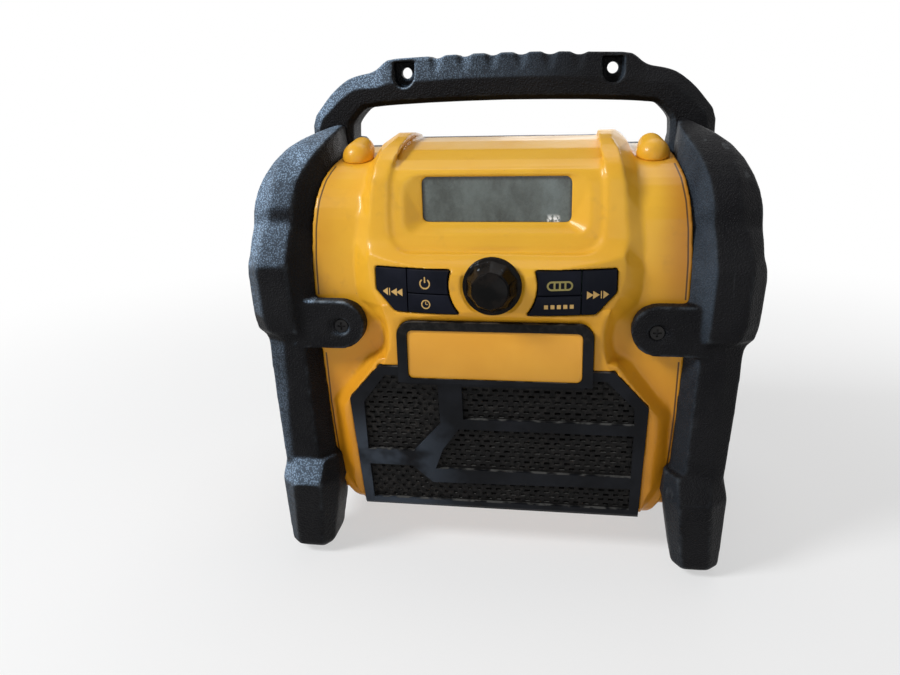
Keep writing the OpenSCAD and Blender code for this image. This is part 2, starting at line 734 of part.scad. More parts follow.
module grille_pocket() {
    on_face() {
        translate([0, 0, -grille_t]) linear_extrude(12) polygon(grille_edge);
        for (x = [-speaker_x, speaker_x])
            translate([x, slope_s(speaker_z), -12]) cylinder(r = 32, h = 12);
        translate([0, 0, -5.2]) linear_extrude(3) polygon(inset(grille_edge, 4));
    }
    along_x(-77.2, 77.2) polygon([[face_y0 - 3, face_z0 + 1], [face_y0 - 3, 20],
        [face_y0 + 14, 20], [face_y0 + 14, lip_top_z], [face_y0 + 7.5, lip_top_z + 0.6],
        [face_y0 + 4.5, face_z0 + 0.4]]);
    along_y(-90, -73) badge_frame_outline();
}
module dust_cloth() {
    color([0.05, 0.05, 0.05]) on_face() translate([0, 0, -5.1]) linear_extrude(0.5)
        polygon(inset(grille_edge, 4.2));
}
speaker_x = 39.5;
speaker_z = 74;
module at_speakers() {
    for (x = [-speaker_x, speaker_x]) on_face() translate([x, slope_s(speaker_z), -8]) children();
}
module speaker_baskets() {
    color([0.25, 0.26, 0.28]) at_speakers() difference() {
        rotate_extrude() polygon([[31.5, 0], [speaker_r, 0], [speaker_r, -2], [34, -2], [20, -19],
            [11, -19], [11, -17.4], [19, -17.4], [31.5, -2.4]]);
        for (a = [0:45:315]) rotate(a) translate([26, -4, -17]) cube([12, 8, 13.5]);
        for (a = [45:90:315]) rotate(a) translate([35.2, 0, -5]) cylinder(r = 1.1, h = 10);
    }
}
module speaker_cones() {
    color([0.1, 0.1, 0.1]) at_speakers() rotate_extrude()
        polygon([[0, -8], [6, -9.6], [9, -11], [26, -1.2], [27.4, -1.2], [27.4, -2.2],
            [25.6, -2.6], [9, -13], [9, -16.5], [0, -16.5]]);
}
module speaker_surrounds() {
    color([0.06, 0.06, 0.06]) at_speakers() rotate_extrude() difference() {
        translate([29.4, -1.2]) circle(r = 2);
        translate([29.4, -1.7]) circle(r = 1.4);
        translate([20, -8]) square([20, 6.8]);
    }
}
module speaker_magnets() {
    color([0.3, 0.3, 0.32]) at_speakers() translate([0, 0, -29]) {
        cylinder(r = 23, h = 8);
        translate([0, 0, 8]) cylinder(r = 16, h = 2);
    }
}
// Insulated wire along a route that keeps to one plane across the radio
module wire_run(x, route, r) {
    function along(i) = unit(route[min(i + 1, len(route) - 1)] - route[max(i - 1, 0)]);
    skin([for (i = [0:len(route) - 1])
        let (side = [-along(i).y, along(i).x])
        [for (a = [0:60:300])
            [x + r * cos(a), route[i].x + r * sin(a) * side.x, route[i].y + r * sin(a) * side.y]]]);
}
module speaker_leads() {
    color([0.7, 0.1, 0.1]) for (x = [-speaker_x, speaker_x])
        wire_run(x, [[-22, 82], [-14, 84], [-4, 90], [6, 98], [16, 102], [main_board_y, 103]], 1.2);
}

// ---- display, keys and knob ----------------------------------------------------------

module display_lens() {
    color([0.6, 0.65, 0.62]) translate([0, 0, display_z]) along_y(display_floor_y + 1.5,
        display_floor_y + 3) rounded_window(display_w + 6, display_h + 6, 4);
}
module display_module() {
    color([0.45, 0.5, 0.45]) {
        box([-39, display_floor_y + 3, display_z - 13], [39, display_floor_y + 6.5, display_z + 13]);
        box([-42, display_floor_y + 6.5, display_z - 15], [42, display_floor_y + 8, display_z + 15]);
    }
}
control_board_y = -66;
// Posts that the control board is fixed to, X and Z
board_posts = [[52, 144.6], [30, 176.4]];
key_back_y = -70;
key_lip_y = -74;
key_top_z = 170.3;
key_low_z = 148.3;
key_seam_x = 43.2;
key_seam_z = 158.2;
// Outline of the three keys to the right of the knob
module key_group(margin) {
    difference() {
        polygon([[14, key_low_z - margin], [50.3 + margin * 0.4, key_low_z - margin],
            [60 + margin, 158.8 - margin * 0.4], [60 + margin, key_top_z + margin],
            [14, key_top_z + margin]]);
        translate([0, knob_z]) circle(r = 22.4 - margin);
    }
}
module key_group_hole() {
    along_y(-95, key_back_y - 1) key_group(key_gap);
}
// One key: its face, and behind the wall a lip that keeps it from falling out
module key_shape(x0, x1, z0, z1) {
    for (part = [[0, 0.8, -95], [1.2, -wall - 0.3, key_lip_y]]) intersection() {
        along_y(part[2], key_back_y) intersection() {
            key_group(part[0]);
            translate([x0, z0]) square([x1 - x0, z1 - z0]);
        }
        nose_limit(part[1], 140, 180);
    }
}
module seek_up_key() {
    color(moulded_black) key_shape(key_seam_x + key_gap / 2, 65, 145, 174);
}
module mode_key() {
    color(moulded_black) key_shape(14, key_seam_x - key_gap / 2, key_seam_z + key_gap / 2, 174);
}
module preset_key() {
    color(moulded_black) key_shape(14, key_seam_x - key_gap / 2, 145, key_seam_z - key_gap / 2);
}
module seek_down_key() {
    mirror([1, 0, 0]) seek_up_key();
}
module power_key() {
    mirror([1, 0, 0]) mode_key();
}
module clock_key() {
    mirror([1, 0, 0]) preset_key();
}
switch_places = [[51, 162], [33, 164.5], [33, 153]];
module tact_switches() {
    color([0.2, 0.2, 0.22]) mirrored() for (p = switch_places) {
        box([p.x - 3, control_board_y - 1.3, p.y - 3], [p.x + 3, control_board_y, p.y + 3]);
        rod_y(p.x, p.y, 1.6, key_back_y + key_travel + 0.3, control_board_y - 1);
    }
}
module control_board() {
    color(board_green) difference() {
        along_y(control_board_y, control_board_y + 1.6) polygon(both_sides([[0, 141.5],
            [52.5, 141.5], [60.5, 151], [61.5, 163], [59.5, 171], [40, 178.6], [0, 178.6]]));
        mirrored() for (p = board_posts) rod_y(p.x, p.y, 1.1, -70, -60);
    }
}
knob_base_y = nose_y + 1.6;
module encoder() {
    color(steel) difference() {
        union() {
            box([-6.5, control_board_y - 6, knob_z - 6.5], [6.5, control_board_y, knob_z + 6.5]);
            rod_y(0, knob_z, 4, -80, control_board_y - 6);
        }
        rod_y(0, knob_z, 3.05, -90, control_board_y - 2);
    }
}
module encoder_shaft() {
    color(steel) rod_y(0, knob_z, 3, -89, control_board_y - 2.4);
}
module tuning_knob() {
    base = knob_base_y - 0.3;
    depth = base + front_reach;
    color(moulded_black) translate([0, base, knob_z]) rotate([90, 0, 0]) difference() {
        rotate_extrude() polygon([[3, 0], [knob_r, 0], [knob_r, 1.6], [knob_r - 0.7, 4.4],
            [knob_r - 2.2, 7.6], [knob_face_r, depth], [8.6, depth], [8.6, depth - 1.2],
            [3, depth - 1.2]]);
        for (i = [0:knob_flats - 1]) rotate(i * 360 / knob_flats)
            translate([knob_r - 2, -10, 2.4]) rotate([0, -24, 0]) cube([10, 20, 20]);
    }
}
module knob_cap() {
    color([0.05, 0.05, 0.05]) rod_y(0, knob_z, 8.6, -front_reach, -front_reach + 1.2);
}

// ---- battery bay, boards and sockets -------------------------------------------------

main_board_y = 24;
module battery_bay() {
    color(moulded_black) difference() {
        union() {
            box([-bay_w / 2 - 2.5, bay_y - 2.5, bay_z0 - 2.5],
                [bay_w / 2 + 2.5, rear_wall_y, bay_z0 + bay_h + 2.5]);
            for (x = [-36, 36], z = [82, 150]) rod_y(x, z, 3, main_board_y + 1.6, bay_y);
        }
        box([-bay_w / 2, bay_y, bay_z0], [bay_w / 2, 100, bay_z0 + bay_h]);
        // Recess that the latch cam turns into
        box([bay_w / 2 - 1, 72, latch_z - 6], [bay_w / 2 + 1.9, rear_wall_y - wall, latch_z + 6]);
    }
    // Rails that guide the pack
    color(moulded_black) mirrored()
        box([bay_w / 2 - 6, bay_y, 98], [bay_w / 2, 62, 102]);
}
module terminal_block() {
    color([0.16, 0.16, 0.17]) box([-22, bay_y, 104], [22, bay_y + 8, 132]);
}
module terminal_blades() {
    color([0.78, 0.6, 0.3]) for (x = [-15, -5, 5, 15])
        box([x - 0.4, bay_y + 8, 108], [x + 0.4, bay_y + 18, 128]);
}
module main_board() {
    color(board_green) box([-42, main_board_y, 74], [42, main_board_y + 1.6, 158]);
}
module tuner_can() {
    color(steel) box([-30, main_board_y - 7, 126], [2, main_board_y, 150]);
}
door_pin_x = -54.5;
door_pin_y = 84.5;
knuckle_r = 3.2;
// Barrels on the shell, at both ends of the pin
module door_knuckles() {
    for (z = [[door_z0 + 8, door_z0 + 20], [door_z1 - 20, door_z1 - 8]]) {
        rod_z(door_pin_x, door_pin_y, knuckle_r, z[0], z[1]);
        box([door_pin_x - 2.4, 76, z[0]], [door_pin_x + 2.4, door_pin_y - 1, z[1]]);
    }
}
module battery_door() {
    z0 = door_z0 + 20.4;
    z1 = door_z1 - 20.4;
    color(moulded_black) difference() {
        union() {
            difference() {
                box([-door_half_w, rear_wall_y + 0.3, door_z0], [door_half_w, 84, door_z1]);
                box([-door_half_w - 1, rear_wall_y, door_z0 - 1],
                    [-door_half_w + 2, 90, door_z0 + 20.4]);
                box([-door_half_w - 1, rear_wall_y, door_z1 - 20.4],
                    [-door_half_w + 2, 90, door_z1 + 1]);
            }
            rod_z(door_pin_x, door_pin_y, knuckle_r, z0, z1);
            box([door_pin_x, 82.6, z0], [-door_half_w + 1, 84, z1]);
            // Stiffening ribs across the outside
            for (z = [door_z0 + 14, door_z1 - 14]) box([-40, 84 - eps, z - 1.5], [40, 85.2, z + 1.5]);
        }
        rod_z(door_pin_x, door_pin_y, pin_r + 0.05, z0 - 1, z1 + 1);
        rod_y(latch_x, latch_z, 3.05, 75, 90);
        door_seal_shape();
    }
}
module door_seal_shape() {
    difference() {
        box([-48, rear_wall_y + 0.3, door_z0 + 1.2], [48, rear_wall_y + 1.3, door_z1 - 1.2]);
        box([-46.4, rear_wall_y, door_z0 + 2.8], [46.4, rear_wall_y + 2, door_z1 - 2.8]);
    }
}
module door_seal() {
    color([0.15, 0.15, 0.15]) door_seal_shape();
}
module door_hinge_pin() {
    color(steel) rod_z(door_pin_x, door_pin_y, pin_r, door_z0 + 10.5, door_z1 - 8.5);
}
latch_x = 37;
latch_z = bay_z0 + bay_h / 2;
module door_latch() {
    color(rubber_black) {
        rod_y(latch_x, latch_z, 3, 72.6, 85);
        difference() {
            rod_y(latch_x, latch_z, 9, 84.3, 86.4);
            for (side = [-1, 1]) rod_y(latch_x + side * 11.5, latch_z, 5, 80, 90);
        }
        box([latch_x - 1.8, 86.3, latch_z - 8], [latch_x + 1.8, 89.5, latch_z + 8]);
        box([latch_x - 3, 72.6, latch_z - 9.2], [latch_x + 3, 75.6, latch_z + 2]);
    }
}
jack_x = -40;
aux_x = -20;
jack_z = 50;
module power_jack() {
    color([0.1, 0.1, 0.1]) difference() {
        union() {
            rod_y(jack_x, jack_z, 6, 64, rear_wall_y);
            rod_y(jack_x, jack_z, 8, rear_wall_y, rear_wall_y + 1.4);
        }
        rod_y(jack_x, jack_z, 3.2, 68, rear_wall_y + 5);
    }
}
module power_jack_pin() {
    color(steel) rod_y(jack_x, jack_z, 1.05, 68, rear_wall_y - 1);
}
module aux_jack() {
    color([0.1, 0.1, 0.1]) difference() {
        union() {
            rod_y(aux_x, jack_z, 4, 62, rear_wall_y);
            rod_y(aux_x, jack_z, 5.6, rear_wall_y, rear_wall_y + 1.2);
        }
        rod_y(aux_x, jack_z, 1.8, 66, rear_wall_y + 5);
    }
}

// ---- aerial --------------------------------------------------------------------------

aerial_x = -57;
aerial_y = 86;
aerial_z = 183.5;
aerial_len = 128;
module aerial_base() {
    color(moulded_black) difference() {
        union() {
            box([aerial_x - 7, rear_wall_y, aerial_z - 7], [aerial_x + 7, 91.5, aerial_z - 3.5]);
            for (y = [[rear_wall_y, 82.4], [89.6, 92]])
                intersection() {
                    rod_y(aerial_x, aerial_z, 7, y[0], y[1]);
                    box([aerial_x - 7, 70, aerial_z - 7], [aerial_x + 7, 95, aerial_z + 7]);
                }
        }
        rod_y(aerial_x, aerial_z, 1.55, 75, 95);
    }
}
module aerial_pin() {
    color(steel) rod_y(aerial_x, aerial_z, 1.5, rear_wall_y + 0.3, 92);
}
module aerial_whip() {
    color(rubber_black) difference() {
        union() {
            rod_y(aerial_x, aerial_z, 3.1, 82.8, 89.2);
            translate([aerial_x, aerial_y, aerial_z]) rotate([0, 90, 0]) {
                cylinder(r = 3, h = 30);
                cylinder(r = 2.2, h = aerial_len - 6);
                translate([0, 0, aerial_len - 6]) cylinder(r = 3, h = 6);
            }
        }
        rod_y(aerial_x, aerial_z, 1.55, 75, 95);
    }
}
// Open hook that the stowed aerial rests in
module aerial_clip() {
    box([52, rear_wall_y - eps, aerial_z - 6.2], [58, 90.5, aerial_z - 3]);
    box([52, 89, aerial_z - 6.2], [58, 90.5, aerial_z + 1.5]);
}

front_housing();
rear_housing();
housing_seal();
housing_screws();
left_bumper();
right_bumper();
bumper_screws();
handle();
handle_screws();
top_studs();
speaker_grille();
badge_plate();
dust_cloth();
speaker_baskets();
speaker_cones();
speaker_surrounds();
speaker_magnets();
speaker_leads();
display_lens();
display_module();
control_board();
tact_switches();
encoder();
encoder_shaft();
tuning_knob();
knob_cap();
seek_down_key();
power_key();
clock_key();
mode_key();
preset_key();
seek_up_key();
main_board();
tuner_can();
battery_bay();
terminal_block();
terminal_blades();
battery_door();
door_seal();
door_hinge_pin();
door_latch();
power_jack();
power_jack_pin();
aux_jack();
aerial_base();
aerial_pin();
aerial_whip();
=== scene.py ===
"""Jobsite radio: moulded surfaces, materials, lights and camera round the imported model."""

import json
import math

import bmesh
import bpy
from mathutils import Matrix, Vector


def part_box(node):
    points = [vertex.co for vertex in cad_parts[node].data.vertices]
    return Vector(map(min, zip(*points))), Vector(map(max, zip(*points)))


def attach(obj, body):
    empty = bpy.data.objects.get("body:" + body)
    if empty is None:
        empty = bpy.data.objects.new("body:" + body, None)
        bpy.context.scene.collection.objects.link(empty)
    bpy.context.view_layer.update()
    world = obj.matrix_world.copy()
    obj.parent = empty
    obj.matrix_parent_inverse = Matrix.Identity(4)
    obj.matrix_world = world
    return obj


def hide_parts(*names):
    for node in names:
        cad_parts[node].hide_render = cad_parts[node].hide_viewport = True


MM = 0.001
MERGE_GAP = 2e-6  # corners of CAD triangles that are closer than this, in metres, are one
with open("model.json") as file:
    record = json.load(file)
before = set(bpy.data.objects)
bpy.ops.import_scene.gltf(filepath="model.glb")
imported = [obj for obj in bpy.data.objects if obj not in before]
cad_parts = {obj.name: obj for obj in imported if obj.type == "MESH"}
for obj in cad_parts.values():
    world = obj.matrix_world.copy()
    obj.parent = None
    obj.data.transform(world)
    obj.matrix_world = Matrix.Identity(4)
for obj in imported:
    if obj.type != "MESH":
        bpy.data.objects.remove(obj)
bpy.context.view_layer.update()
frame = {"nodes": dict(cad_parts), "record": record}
nodes = frame["nodes"]
body_of_node = {
    node: body
    for body, members in frame["record"]["behaviour"]["bodies"].items()
    for node in members
}

# ---- places on the radio, in mm, with its front towards -Y and its foot at Z 0 -------------

# Height and distance from the middle of the seam line beside each bumper
SEAM_LINE = [(54, 90.3), (65, 91.3), (90, 92.6), (121, 93.0), (150, 94.0), (172, 94.1),
             (188, 93.4), (201, 92.0), (211, 90.0), (217, 87.6)]
SEAM_RAMP = 100  # the distance that the ramp's white stands for
SEAM_FADE = (0.55, 0.3)  # distances from the line's centre at which it begins and is whole
SEAM_GAP_Z = (120, 153)  # a screw tab covers the line here
SEAM_REAR_Y = -12  # the line stops before the joint with the rear shell
TAB_Z, TAB_END_X = (122, 153), 94  # screw tabs of the bumpers
# Painted shade turns the yellow brown towards the foot, and beside the bumpers outwards and
# upwards
FOOT_SHADE_Z = (205, 70)
SIDE_SHADE_X, SIDE_SHADE_Z = (74, 93), (120, 170)
# A painted bluish highlight covers the rubber's left half, and on the right half it grows with
# height
HIGHLIGHT_SIDE_X, HIGHLIGHT_RISE_Z = (55, -55), (80, 160)
# Distance of the grille's face before the middle at its foot, and its forward lean per mm
GRILLE_FOOT_Y, GRILLE_FOOT_Z, GRILLE_LEAN = 59.5, 28, 0.2
FIELD_DEPTH = (0.5, 1.6)  # behind that face, where a sunken field begins and is whole
DUST_AND_SHEEN_GRILLE_X, SHEEN_GRILLE_Z = (-10, -55), (95, 70)  # dust and painted sheen to the left, the sheen low down
# Half the grille's width at its foot, its gain for each mm of height, and its cut corners
GRILLE_HALF, GRILLE_GAIN = 77.2, 0.02
CORNER_HALF, CORNER_Z, CORNER_LOSS = 78.6, 97.5, 0.886
EDGE_ROOM = 1.5  # the grille's edges stay firm so far out
FRAME_HALF, FRAME_Z = 50, (105, 143)  # badge frame
BOSS_X, BOSS_Z, BOSS_RADIUS = 81.2, 137, 14.5  # screw bosses beside the badge
# Where the front shell is softened further: beside the grille, and above the keys
FLANK_Z, FLANK_END_X, FLANK_REAR_Y = (45, 148), 90, -30
CROWN_Z, CROWN_END_X = (174, 224), 80
WINDOW_Z, WINDOW_HALF_X, WINDOW_HALF_Z = 202, 42, 15  # display window
KNOB_Z, KNOB_ROOM = 163, 19  # knob's middle and the radius of its pocket
# The window's border behind the housing, and the painted shadow inside it, at the top and the ends
COVERED, SHADOW_TOP, SHADOW_ENDS = 3, (2.2, 0.4), (1.6, 0.2)
SHEEN_X, SHEEN_FADE = 28, (8, 1)  # painted sheen: a pale streak in the window
GLARE_X, GLARE_FADE, GLARE_HEIGHT = 28.5, (3.8, 2.2), (4.2, 1.2)  # painted glare, bright at the window's foot
# Inner rib that backs the thin side walls of the display channel, as Y and Z, and its X
RIB = [(-56, 205), (-56, 216), (-50, 221), (-38, 225.4), (-18, 228.4), (10, 228.4), (10, 205)]
RIB_X = (51.4, 54.6)
# Axis and radius of the curved front behind the keys, and how far they stand before it
NOSE_Y, NOSE_RADIUS, KEY_PROUD = -83, 214, 0.8
PRINT_GAP, PRINT_THICKNESS = 0.02, 0.05  # the symbols stand clear of the keys by the gap

SKY_SIDE = (-0.46, -0.43, 0.777)  # up, forwards and to the left, towards the window lamp: painted highlights face this way
INNER_SIDE = (-0.90, -0.42, 0.12)  # the way the right bumper's slanted inner wall faces
LEDGE_SIDE = (0, -0.2, 0.98)  # the way the grille's lower ledges face

# ---- shader maths ------------------------------------------------------------------------


class Value:
    """An output socket; Python's operators on it add Math nodes."""

    def __init__(self, graph, socket):
        self.graph, self.socket = graph, socket

    def math(self, operation, *values):
        return self.graph.node(
            "ShaderNodeMath", {"operation": operation}, dict(enumerate(values))
        )

    def __add__(self, other):
        return self.math("ADD", self, other)

    def __sub__(self, other):
        return self.math("SUBTRACT", self, other)

    def __rsub__(self, other):
        return self.math("SUBTRACT", other, self)

    def __mul__(self, other):
        return self.math("MULTIPLY", self, other)

    def __truediv__(self, other):
        return self.math("DIVIDE", self, other)

    def __gt__(self, other):
        return self.math("GREATER_THAN", self, other)

    def __lt__(self, other):
        return self.math("LESS_THAN", self, other)

    __radd__ = __add__
    __rmul__ = __mul__

    def most(self, other):
        return self.math("MAXIMUM", self, other)

    def least(self, other):
        return self.math("MINIMUM", self, other)

    def size(self):
        return self.math("ABSOLUTE", self)

    def ramp(self, low, high, start=0.0, end=1.0):
        """start below low, end above high, and a smooth step between them."""
        return self.graph.node(
            "ShaderNodeMapRange",
            {"interpolation_type": "SMOOTHSTEP"},
            {"Value": self, "From Min": low, "From Max": high, "To Min": start, "To Max": end},
        )

    def along(self, ends, start=0.0, end=1.0):
        """A ramp between two places in mm."""
        return self.ramp(ends[0] * MM, ends[1] * MM, start, end)

    def between(self, ends):
        """1 between two places in mm, and 0 outside them."""
        return (self > ends[0] * MM) * (self < ends[1] * MM)


class Graph:
    """A node tree that gets its nodes from one method."""

    def __init__(self, tree):
        self.tree = tree

    def node(self, kind, settings=None, values=None, output=0):
        """Adds a node, with its settings first and then its sockets' values or links."""
        made = self.tree.nodes.new(kind)
        for name, setting in (settings or {}).items():
            if name == "stops":
                elements = made.color_ramp.elements
                for spare in list(elements)[1:]:
                    elements.remove(spare)
                for i, (position, colour) in enumerate(setting):
                    element = elements.new(position) if i else elements[0]
                    element.position, element.color = position, (*colour, 1)
            else:
                setattr(made, name, setting)
        for name, value in (values or {}).items():
            self.join(made.inputs[name], value)
        return Value(self, made.outputs[output])

    def join(self, socket, value):
        if isinstance(value, Value):
            self.tree.links.new(value.socket, socket)
        elif isinstance(value, tuple) and len(value) == 3 and socket.type == "RGBA":
            socket.default_value = (*value, 1)
        else:
            socket.default_value = value

    def seen_directly(self):
        """1 for the camera's rays and for those that metal, gloss and glass show."""
        seen = self.node("ShaderNodeLightPath", output="Is Camera Ray")
        for ray in ("Is Glossy Ray", "Is Transmission Ray"):
            seen = seen.most(self.node("ShaderNodeLightPath", output=ray))
        return seen


# Sockets of a Mix node that mixes colours
FACTOR, UNDER, OVER, MIXED = 0, 6, 7, 2


class Finish(Graph):
    """One material, and the nodes that give it its pattern."""

    def __init__(self, name, **surface):
        self.material = bpy.data.materials.new(name)
        self.material.use_nodes = True
        super().__init__(self.material.node_tree)
        self.shader = self.tree.nodes["Principled BSDF"]
        self.place = self.node("ShaderNodeTexCoord", output="Object")
        split = self.node("ShaderNodeSeparateXYZ", {}, {0: self.place}).socket.node
        self.x, self.y, self.z = (Value(self, socket) for socket in split.outputs)
        self.set(**surface)

    def set(self, **surface):
        for name, value in surface.items():
            self.join(self.shader.inputs[name.replace("_", " ")], value)

    def noise(self, scale, detail=2.0, roughness=0.5, stretch=None, distortion=0.0):
        """Smooth noise of about scale waves in a metre, with detail rounds of finer ones. The
        waves are longer along an axis whose stretch is below 1."""
        place = self.place
        if stretch:
            place = self.node("ShaderNodeMapping", {}, {"Vector": place, "Scale": stretch})
        return self.node(
            "ShaderNodeTexNoise",
            {},
            {
                "Vector": place,
                "Scale": scale,
                "Detail": detail,
                "Roughness": roughness,
                "Distortion": distortion,
            },
        )

    def cells(self, scale):
        """Distance to the nearest of many scattered points."""
        return self.node(
            "ShaderNodeTexVoronoi", {"feature": "F1"}, {"Vector": self.place, "Scale": scale}
        )

    def facing(self, way):
        """How far the surface faces along a unit vector, from -1 to 1."""
        normal = self.node("ShaderNodeNewGeometry", output="Normal")
        return self.node(
            "ShaderNodeVectorMath", {"operation": "DOT_PRODUCT"}, {0: normal, 1: way}, "Value"
        )

    def edges(self, low, high):
        """1 on outer edges, where wear and painted glints go, 0 on flats."""
        return self.node("ShaderNodeNewGeometry", output="Pointiness").ramp(low, high)

    def mix(self, amount, under, over):
        """The colour under, covered by the colour over as far as amount says."""
        values = {FACTOR: amount, UNDER: under, OVER: over}
        return self.node("ShaderNodeMix", {"data_type": "RGBA"}, values, MIXED)

    def bump(self, height, depth, strength=0.5):
        """A relief of so many mm."""
        return self.node(
            "ShaderNodeBump", {}, {"Height": height, "Distance": depth * MM, "Strength": strength}
        )


# ---- finishes ----------------------------------------------------------------------------


def seam(f):
    """1 on the thin line of painted shade in the groove down each side panel, broken at the screw
    tab.
    """
    lowest, highest = SEAM_LINE[0][0], SEAM_LINE[-1][0]
    stops = [((z - lowest) / (highest - lowest), (x / SEAM_RAMP,) * 3) for z, x in SEAM_LINE]
    height = (f.z / MM - lowest) * (1 / (highest - lowest))
    centre = f.node("ShaderNodeValToRGB", {"stops": stops}, {"Fac": height}) * (SEAM_RAMP * MM)
    line = (f.x.size() - centre).size().along(SEAM_FADE)
    line = line * f.z.between((lowest, highest)) * (f.y < SEAM_REAR_Y * MM)
    return line * (1.0 - f.z.between(SEAM_GAP_Z))


def yellow_abs():
    """Yellow shell with grime, specks and painted shade: at the foot, by the bumpers and in the
    grooves.
    """
    yellow, deep_yellow = (0.81, 0.445, 0.032), (0.76, 0.385, 0.022)
    foot_shade_amber, side_shade_brown = (0.66, 0.262, 0.010), (0.47, 0.185, 0.010)
    earth, speck_brown = (0.30, 0.15, 0.04), (0.16, 0.09, 0.035)
    gap_shade = (0.045, 0.018, 0.004)
    f = Finish("yellow_abs", Specular_IOR_Level=0.22)
    cloud = f.noise(14, 4, 0.6)
    blotch = f.noise(55, 3, 0.6)
    low = f.z.along(FOOT_SHADE_Z)
    colour = f.mix(cloud.ramp(0.35, 0.7), yellow, deep_yellow)
    # Painted shade: browner towards the foot
    colour = f.mix(low, colour, foot_shade_amber)
    # Painted shade beside the bumpers, deeper on the right
    side = f.x.size().along(SIDE_SHADE_X) * f.z.along(SIDE_SHADE_Z)
    colour = f.mix(side * (f.x > 0) * 0.55 + side * 0.40, colour, side_shade_brown)
    grime = blotch.ramp(0.54, 0.74) * f.noise(190, 3).ramp(0.45, 0.7)
    grime = (grime * (low * 0.55 + 0.2)).least(1)
    colour = f.mix(grime, colour, earth)
    specks = f.cells(420).ramp(0.10, 0.05) * f.noise(60, 1).ramp(0.60, 0.70)
    colour = f.mix(specks * 0.6, colour, speck_brown)
    # Painted shade in the groove down each side panel
    colour = f.mix(seam(f) * 0.9, colour, gap_shade)
    f.set(
        Base_Color=colour,
        Roughness=blotch.ramp(0.2, 0.8, 0.34, 0.48),
        Coat_Weight=0.22,
        Coat_Roughness=0.12,
        Normal=f.bump(f.noise(1500, 2), 0.04),
    )
    return f.material


def rubber():
    """Leather-grained rubber: painted bluish highlight where it faces the sky, scuffs, and worn
    edges with painted glints.
    """
    black, soft_black = (0.004, 0.004, 0.005), (0.009, 0.009, 0.010)
    blue_highlight, scratch_grey = (0.375, 0.520, 0.710), (0.15, 0.16, 0.17)
    earth, wear_and_glint_grey = (0.16, 0.11, 0.07), (0.34, 0.40, 0.46)
    f = Finish("bumper_rubber", Specular_IOR_Level=0.07)
    pebble = f.cells(1050).ramp(0.72, 0.18)
    wrinkle = f.noise(360, 4, 0.7, distortion=0.8)
    grain = pebble * 0.6 + wrinkle
    broad = f.noise(34, 4, 0.6)
    colour = f.mix(broad.ramp(0.3, 0.7), black, soft_black)

    # Painted highlight: bluish on the left half's upward sides, and thinly on the right bumper's
    # inner wall
    left = f.x.along(HIGHLIGHT_SIDE_X)
    sky = f.facing(SKY_SIDE).ramp(0.46, 0.94)
    wall = f.facing(INNER_SIDE).ramp(0.60, 0.96) * 0.24
    high = f.z.along(HIGHLIGHT_RISE_Z, 0.25, 1.0)
    tab = (f.x.size() < TAB_END_X * MM) * f.z.between(TAB_Z)
    cover = (sky * left + wall * (1.0 - left)) * high.most(left) * (1.0 - tab * 0.85)
    leather = grain.ramp(0.62, 1.02) * (left * 0.55 + 0.12) + 0.30
    dust_and_highlight = cover * (broad.ramp(0.30, 0.66) * 0.5 + 0.5) * leather
    # Painted bluish highlight
    colour = f.mix(dust_and_highlight, colour, blue_highlight)

    scratch = f.noise(150, 2, 0.5, stretch=(1.0, 1.0, 0.10)).ramp(0.66, 0.74)
    scratch = scratch * f.noise(20, 2).ramp(0.52, 0.66)
    colour = f.mix(scratch * 0.4, colour, scratch_grey)
    scuff = f.noise(48, 5, 0.7).ramp(0.66, 0.74) * f.noise(17, 1).ramp(0.5, 0.6)
    colour = f.mix(scuff * 0.30, colour, earth)
    # Worn edges, with a painted glint on the upward edges of the left half
    wear_and_glint = f.edges(0.508, 0.550) * f.noise(120, 3).ramp(0.40, 0.65)
    colour = f.mix(wear_and_glint * (sky * left * 0.6 + 0.10), colour, wear_and_glint_grey)
    f.set(
        Base_Color=colour,
        Roughness=broad.ramp(0.3, 0.7, 0.38, 0.54),
        Normal=f.bump(grain, 0.42, 1.0),
    )
    return f.material


def black_abs():
    """Rear shell and door: black, with a little dust in patches."""
    black, soft_black = (0.007, 0.007, 0.009), (0.014, 0.014, 0.016)
    dust_brown = (0.10, 0.09, 0.075)
    f = Finish("black_abs", Specular_IOR_Level=0.15)
    broad = f.noise(40, 3)
    colour = f.mix(broad.ramp(0.35, 0.7), black, soft_black)
    dust_and_highlight = f.noise(240, 3).ramp(0.60, 0.78) * broad.ramp(0.45, 0.65)
    f.set(
        Base_Color=f.mix(dust_and_highlight * 0.5, colour, dust_brown),
        Roughness=broad.ramp(0.3, 0.7, 0.36, 0.50),
        Normal=f.bump(f.noise(1300, 2), 0.05),
    )
    return f.material


